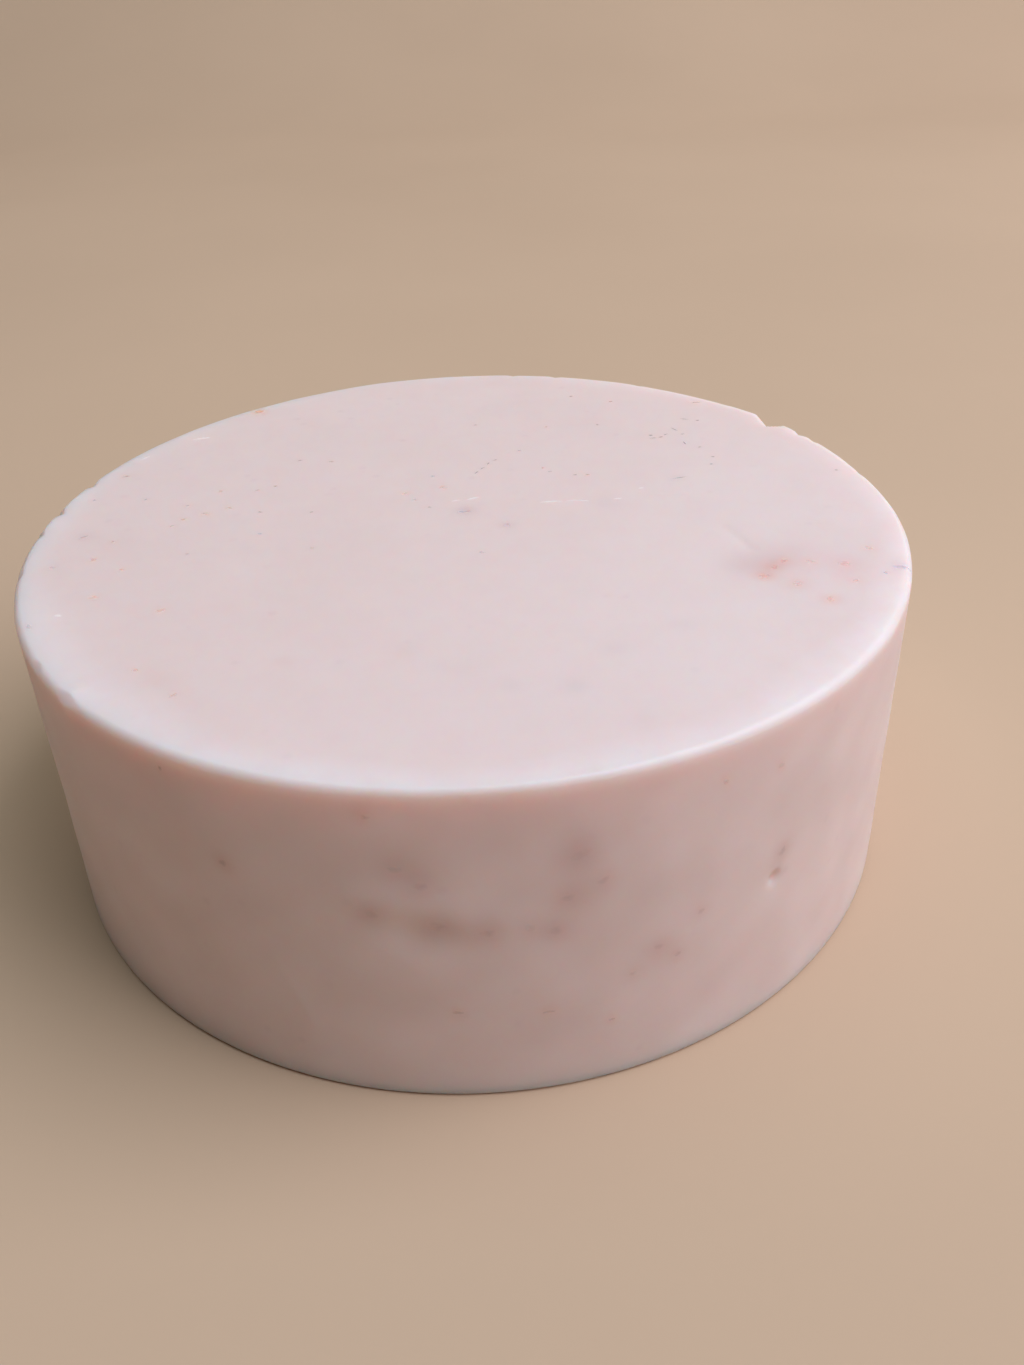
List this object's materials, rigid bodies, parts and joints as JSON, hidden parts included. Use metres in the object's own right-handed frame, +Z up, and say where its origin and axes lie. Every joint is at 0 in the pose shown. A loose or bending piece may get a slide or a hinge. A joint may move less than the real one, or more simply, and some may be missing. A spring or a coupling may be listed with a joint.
{
  "type": "shaving soap puck",
  "caption": "Short round puck of pale pink shaving soap with a flat base, a hand-trimmed top edge and small flecks of colour cast into it; it sits in a bowl or mug and is lathered with a brush.",
  "frame": {"origin": "centre of the flat base that the puck stands on", "axes": "+Z up through the puck, from the base to the top face; +X and +Y level, with the deepest nick in the top edge 30 degrees round from +X towards +Y"},
  "size_m": [0.0768, 0.0768, 0.0288],
  "materials": {
    "pink_soap": "soft waxy satin",
    "orange_colour": "dull, cast into the soap and flush with it",
    "coral_colour": "dull, cast into the soap and flush with it",
    "rose_colour": "dull, cast into the soap and flush with it",
    "mauve_colour": "dull, cast into the soap and flush with it",
    "grey_colour": "dull, cast into the soap and flush with it",
    "dark_thread": "dull, cast into the soap and flush with it",
    "wall_mauve_colour": "dull, cast into the soap and flush with it",
    "rust_colour": "dull, cast into the soap and flush with it"
  },
  "bodies": {
    "root": {"soap_body": "pink_soap", "orange_rim_fleck": "orange_colour", "coral_flecks": "coral_colour", "rose_cluster_flecks": "rose_colour", "mauve_specks": "mauve_colour", "grey_specks": "grey_colour", "dark_threads": "dark_thread", "mauve_wall_flecks": "wall_mauve_colour", "rust_wall_flecks": "rust_colour"}
  },
  "joints": []
}
